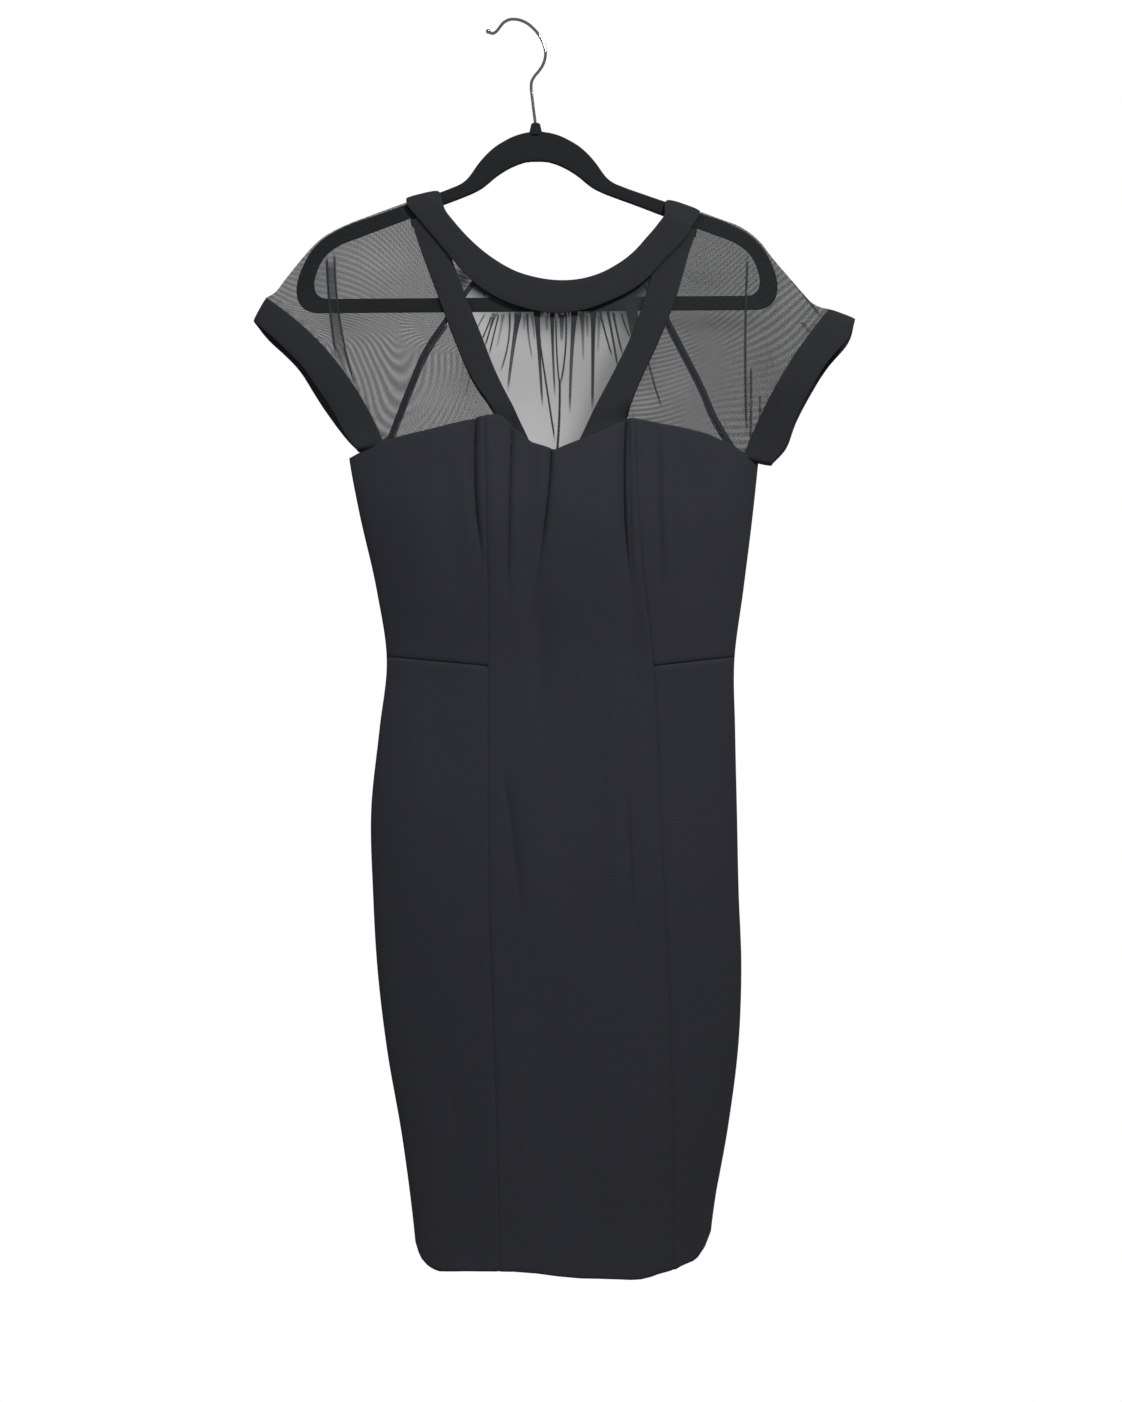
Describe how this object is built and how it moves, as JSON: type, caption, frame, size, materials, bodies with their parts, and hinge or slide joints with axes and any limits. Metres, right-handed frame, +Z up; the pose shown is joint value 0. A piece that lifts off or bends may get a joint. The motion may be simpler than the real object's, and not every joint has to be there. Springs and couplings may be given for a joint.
{
  "type": "sheath dress",
  "caption": "Fitted knee-length sheath dress with a sheer mesh yoke, straps to the neckband and banded cap sleeves, hung on a slim flocked hanger with a wire hook.",
  "frame": {"origin": "the underside of the hook's bend, where a rail carries it", "axes": "+Z up, -Y towards the dress's front, +X to the right seen from the front"},
  "size_m": [0.5605, 0.0768, 1.1644],
  "materials": {
    "crepe": "matte black polyester crepe",
    "mesh": "fine black hexagonal net",
    "flock": "black nylon flock on plastic",
    "chrome": "polished",
    "tape": "knitted black zip tape",
    "enamel": "satin black enamel"
  },
  "bodies": {
    "dress": {"back_bodice_left": "crepe", "back_bodice_right": "crepe", "back_skirt_left": "crepe", "back_skirt_right": "crepe", "back_strap_left": "crepe", "back_strap_right": "crepe", "centre_front_panel": "crepe", "cuff_left": "crepe", "cuff_right": "crepe", "front_strap_left": "crepe", "front_strap_right": "crepe", "hanger": "flock", "hook": "chrome", "neckband": "crepe", "side_front_bodice_left": "crepe", "side_front_bodice_right": "crepe", "side_front_skirt_left": "crepe", "side_front_skirt_right": "crepe", "sleeve_left": "mesh", "sleeve_right": "mesh", "yoke_back_left": "mesh", "yoke_back_right": "mesh", "yoke_front": "mesh", "zip_slider": "enamel", "zip_tape": "tape"},
    "zip_pull": {"zip_pull": "enamel"}
  },
  "joints": [
    {"name": "zip_pull_swing", "type": "hinge", "parent": "dress", "child": "zip_pull", "pos_m": [0.03665, 0.02552, -0.443], "axis": [1, 0, 0], "range_deg": [0, 160]}
  ]
}
